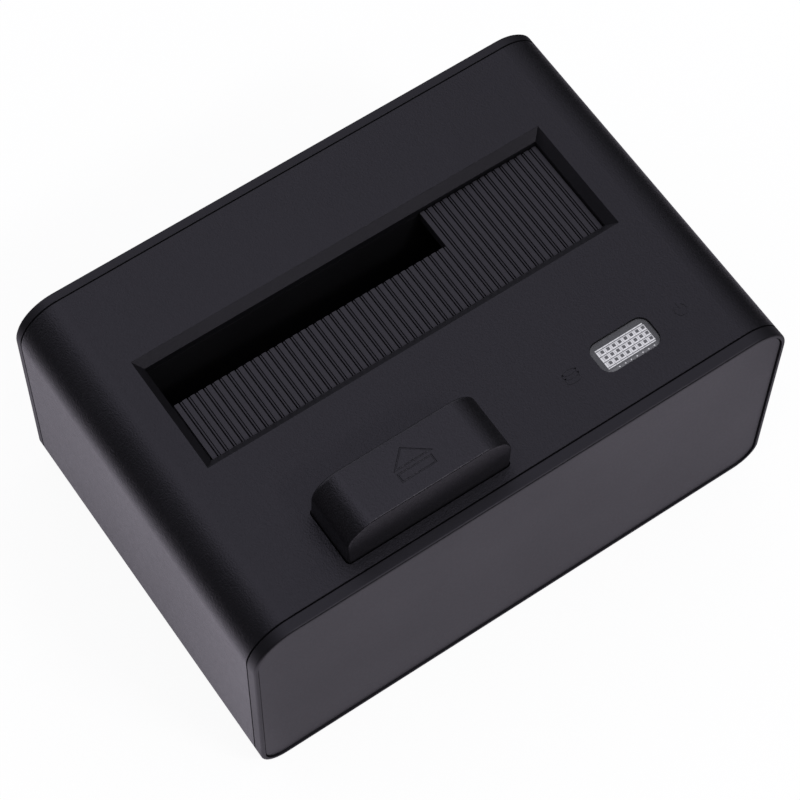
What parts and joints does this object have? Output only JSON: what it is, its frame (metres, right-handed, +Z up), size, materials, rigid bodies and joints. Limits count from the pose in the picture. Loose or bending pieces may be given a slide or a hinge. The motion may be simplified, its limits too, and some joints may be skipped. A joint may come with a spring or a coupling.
{
  "type": "hard drive docking station",
  "caption": "Desktop dock that holds one bare hard drive upright in a flapped bay, with an eject button, status light and rear ports.",
  "frame": {"origin": "on the table under the middle of the casing", "axes": "+X to the right along the front, +Y to the back, +Z up"},
  "size_m": [0.14, 0.0966, 0.0798],
  "materials": {
    "casing_black": "fine satin texture, black",
    "cap_black": "smooth satin, black",
    "panel_satin": "smooth satin, black",
    "flap_black": "ribbed, matt black",
    "button_black": "soft matt black",
    "guide_black": "plain moulded black",
    "foot_rubber": "matt",
    "plain_steel": "zinc plated",
    "spring_steel": "drawn wire",
    "board_green": "solder resist over glass cloth",
    "connector_black": "moulded",
    "contact_gold": "plated",
    "port_steel": "tinned sheet",
    "port_blue": "moulded blue",
    "chip_black": "moulded",
    "can_aluminium": "bare can",
    "ferrite_grey": "sintered",
    "lens_clear": "clear moulded plastic",
    "lamp_white": "moulded"
  },
  "bodies": {
    "casing": {"top_shell": "casing_black", "front_bezel": "cap_black", "front_panel": "panel_satin", "rear_panel": "cap_black", "base_plate": "cap_black", "rubber_feet": "foot_rubber", "case_screws": "plain_steel", "drive_guide": "guide_black", "guide_screws": "plain_steel", "flap_pin": "plain_steel", "button_bridge": "guide_black", "bridge_screws": "plain_steel", "button_spring": "spring_steel", "lever_pin": "plain_steel", "main_board": "board_green", "board_screws": "plain_steel", "bridge_chip": "chip_black", "board_capacitors": "can_aluminium", "board_inductor": "ferrite_grey", "sata_receptacle": "connector_black", "sata_contacts": "contact_gold", "usb_shell": "port_steel", "usb_tongue": "port_blue", "dc_jack": "connector_black", "dc_pin": "contact_gold", "switch_body": "connector_black", "led_lens": "lens_clear", "light_board": "board_green", "status_leds": "lamp_white"},
    "flap": {"dust_flap": "flap_black", "flap_spring": "spring_steel"},
    "button": {"eject_button": "button_black"},
    "lever": {"eject_lever": "guide_black"},
    "rocker": {"switch_rocker": "button_black"}
  },
  "joints": [
    {"name": "flap_swing", "type": "hinge", "parent": "casing", "child": "flap", "pos_m": [-0.00025, -0.00825, 0.06], "axis": [-1, 0, 0], "range_deg": [0, 90], "stiffness_Nm_per_rad": 0.008, "springref_deg": -28.65},
    {"name": "button_press", "type": "slide", "parent": "casing", "child": "button", "axis": [0, 0, -1], "range_m": [0, 0.005], "stiffness_N_per_m": 400, "springref_m": -0.004, "deforming": ["button_spring"]},
    {"name": "lever_tilt", "type": "hinge", "parent": "casing", "child": "lever", "pos_m": [-0.0215, -0.0145, 0.012], "axis": [1, 0, 0], "range_deg": [0, 14.4]},
    {"name": "switch_rock", "type": "hinge", "parent": "casing", "child": "rocker", "pos_m": [0.0119, 0.0447, 0.0137], "axis": [1, 0, 0], "range_deg": [0, 16]}
  ],
  "couplings": [
    {"joint": "lever_tilt", "follows": "button_press", "rad_per_m": 49.783}
  ]
}
